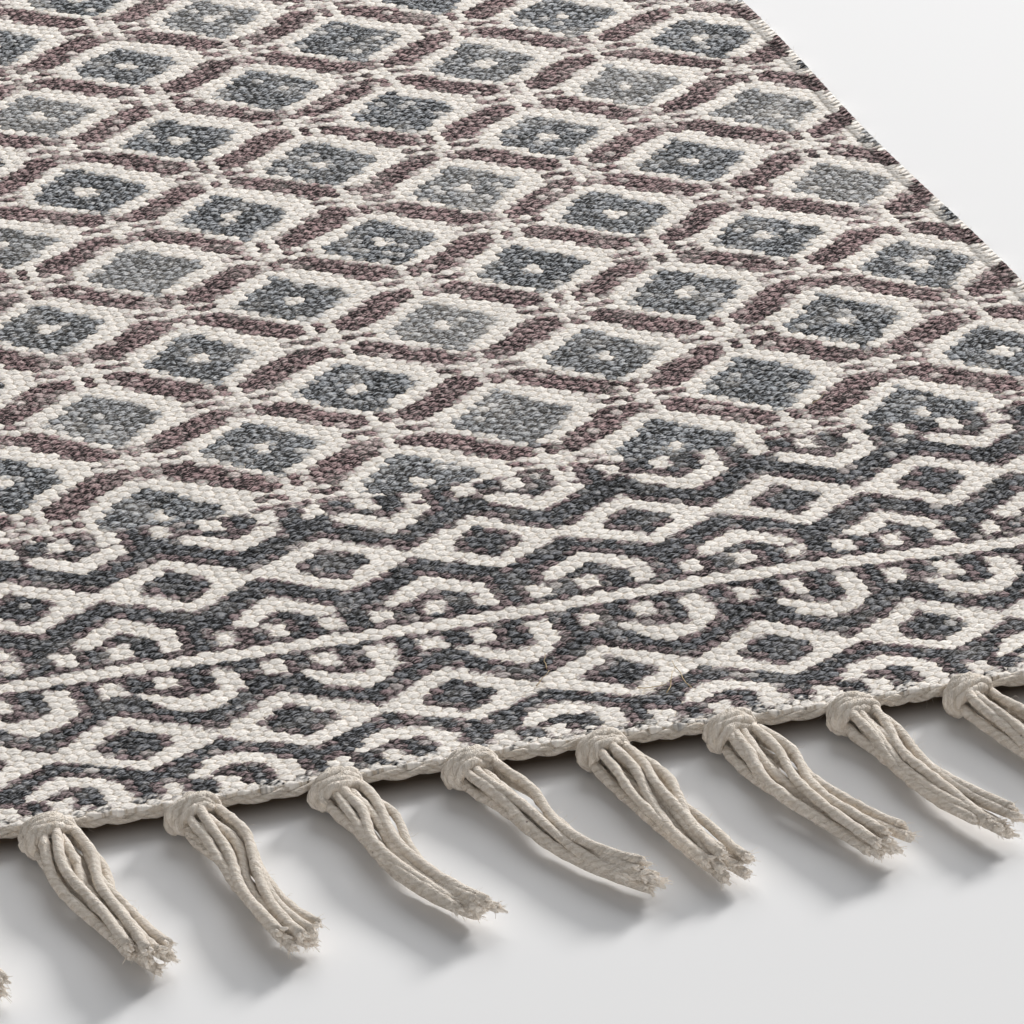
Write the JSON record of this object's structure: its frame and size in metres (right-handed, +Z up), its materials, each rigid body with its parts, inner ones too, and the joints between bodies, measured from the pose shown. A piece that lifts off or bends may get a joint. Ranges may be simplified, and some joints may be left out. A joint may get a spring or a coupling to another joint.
{
  "type": "flat-woven cotton rug with knotted tassels",
  "caption": "Small flat-woven cotton rug with a printed diamond trellis field, patterned end borders and a row of knotted tassels at each end.",
  "frame": {"origin": "middle of the cloth's flat underside, on the floor", "axes": "+X across the rug's width, +Y along its length from the pictured end to the far end, +Z up"},
  "size_m": [0.6048, 1.0554, 0.0128],
  "materials": {
    "printed_cotton": "coarse undyed cotton flat weave, hand printed in charcoal, slate and brown, matte",
    "cotton_yarn": "undyed twisted cotton yarn, matte, slightly fuzzy"
  },
  "bodies": {
    "root": {"cloth": "printed_cotton", "tassel_front_01": "cotton_yarn", "tassel_front_02": "cotton_yarn", "tassel_front_03": "cotton_yarn", "tassel_front_04": "cotton_yarn", "tassel_front_05": "cotton_yarn", "tassel_front_06": "cotton_yarn", "tassel_front_07": "cotton_yarn", "tassel_front_08": "cotton_yarn", "tassel_front_09": "cotton_yarn", "tassel_front_10": "cotton_yarn", "tassel_front_11": "cotton_yarn", "tassel_front_12": "cotton_yarn", "tassel_front_13": "cotton_yarn", "tassel_front_14": "cotton_yarn", "tassel_front_15": "cotton_yarn", "tassel_front_16": "cotton_yarn", "tassel_front_17": "cotton_yarn", "tassel_back_01": "cotton_yarn", "tassel_back_02": "cotton_yarn", "tassel_back_03": "cotton_yarn", "tassel_back_04": "cotton_yarn", "tassel_back_05": "cotton_yarn", "tassel_back_06": "cotton_yarn", "tassel_back_07": "cotton_yarn", "tassel_back_08": "cotton_yarn", "tassel_back_09": "cotton_yarn", "tassel_back_10": "cotton_yarn", "tassel_back_11": "cotton_yarn", "tassel_back_12": "cotton_yarn", "tassel_back_13": "cotton_yarn", "tassel_back_14": "cotton_yarn", "tassel_back_15": "cotton_yarn", "tassel_back_16": "cotton_yarn", "tassel_back_17": "cotton_yarn"}
  },
  "joints": []
}
